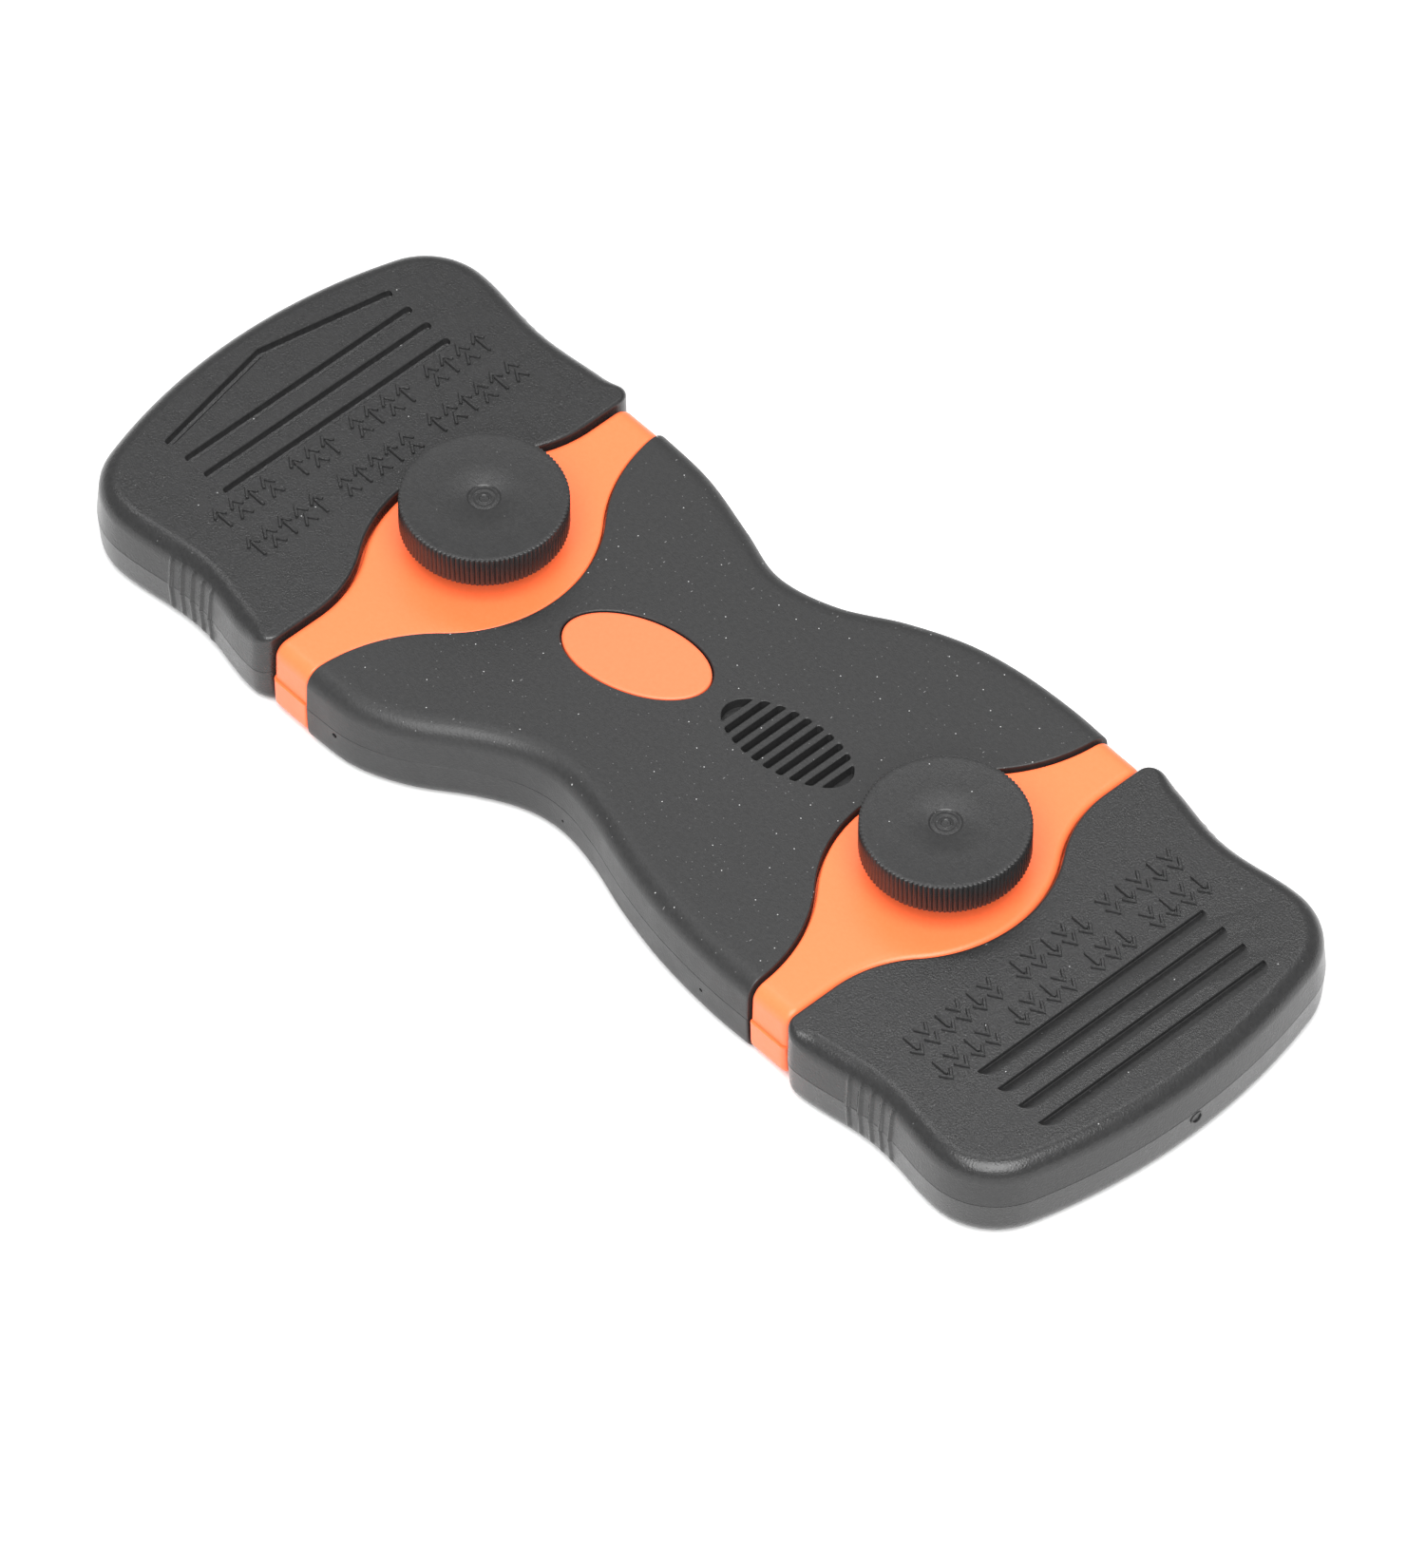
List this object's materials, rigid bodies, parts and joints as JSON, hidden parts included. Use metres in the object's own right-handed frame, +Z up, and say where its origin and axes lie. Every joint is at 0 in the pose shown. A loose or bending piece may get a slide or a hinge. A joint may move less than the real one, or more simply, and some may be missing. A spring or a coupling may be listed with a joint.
{
  "type": "double-ended blade scraper and deburring tool",
  "caption": "Waisted two-shell hand tool with a clamped blade at each end, a knurled thumb knob over each clamp and a pull-off guard cap over each blade.",
  "frame": {"origin": "on the flat underside, under the middle of the handle", "axes": "+X along the handle from the pointed-blade end to the straight-blade end, +Y across it, +Z up through the knobs"},
  "size_m": [0.1747, 0.0707, 0.0214],
  "materials": {
    "orange_plastic": "satin moulded orange plastic",
    "badge_plastic": "satin orange inlay, plain",
    "black_plastic": "fine matte charcoal grip surface",
    "cap_plastic": "fine matte charcoal moulded plastic",
    "knob_plastic": "matte black moulded plastic, knurled rim",
    "zinc_steel": "zinc-plated steel",
    "blade_steel": "ground tool steel"
  },
  "bodies": {
    "handle": {"core_upper": "orange_plastic", "core_lower": "orange_plastic", "grip_upper": "black_plastic", "grip_lower": "black_plastic", "badge_plate": "badge_plastic", "handle_screw_1": "zinc_steel", "handle_screw_2": "zinc_steel", "handle_screw_3": "zinc_steel", "handle_screw_4": "zinc_steel", "left_clamp_plate": "zinc_steel", "left_clamp_nut": "zinc_steel", "right_clamp_plate": "zinc_steel", "right_clamp_nut": "zinc_steel"},
    "cap_at_left": {"left_cap": "cap_plastic"},
    "cap_at_right": {"right_cap": "cap_plastic"},
    "blade_at_left": {"pointed_blade": "blade_steel"},
    "blade_at_right": {"straight_blade": "blade_steel"},
    "washer_at_left": {"left_washer": "zinc_steel"},
    "washer_at_right": {"right_washer": "zinc_steel"},
    "knob_at_left": {"left_knob": "knob_plastic", "left_knob_bolt": "zinc_steel"},
    "knob_at_right": {"right_knob": "knob_plastic", "right_knob_bolt": "zinc_steel"}
  },
  "joints": [
    {"name": "left_cap_pull", "type": "slide", "parent": "handle", "child": "cap_at_left", "axis": [-1, 0, 0], "range_m": [0, 0.045]},
    {"name": "right_cap_pull", "type": "slide", "parent": "handle", "child": "cap_at_right", "axis": [1, 0, 0], "range_m": [0, 0.04]},
    {"name": "left_blade_retract", "type": "slide", "parent": "handle", "child": "blade_at_left", "axis": [1, 0, 0], "range_m": [0, 0.005]},
    {"name": "right_blade_retract", "type": "slide", "parent": "handle", "child": "blade_at_right", "axis": [-1, 0, 0], "range_m": [0, 0.005]},
    {"name": "left_knob_lift", "type": "slide", "parent": "handle", "child": "washer_at_left", "axis": [0, 0, 1], "range_m": [0, 0.002]},
    {"name": "left_knob_turn", "type": "hinge", "parent": "washer_at_left", "child": "knob_at_left", "pos_m": [-0.0398, -0.0031, 0.0124], "axis": [0, 0, 1], "range_deg": [0, 720]},
    {"name": "right_knob_lift", "type": "slide", "parent": "handle", "child": "washer_at_right", "axis": [0, 0, 1], "range_m": [0, 0.002]},
    {"name": "right_knob_turn", "type": "hinge", "parent": "washer_at_right", "child": "knob_at_right", "pos_m": [0.0394, 0.0035, 0.0124], "axis": [0, 0, 1], "range_deg": [0, 720]}
  ],
  "couplings": [
    {"joint": "left_knob_lift", "follows": "left_knob_turn", "m_per_rad": 0.00015915},
    {"joint": "right_knob_lift", "follows": "right_knob_turn", "m_per_rad": 0.00015915}
  ]
}
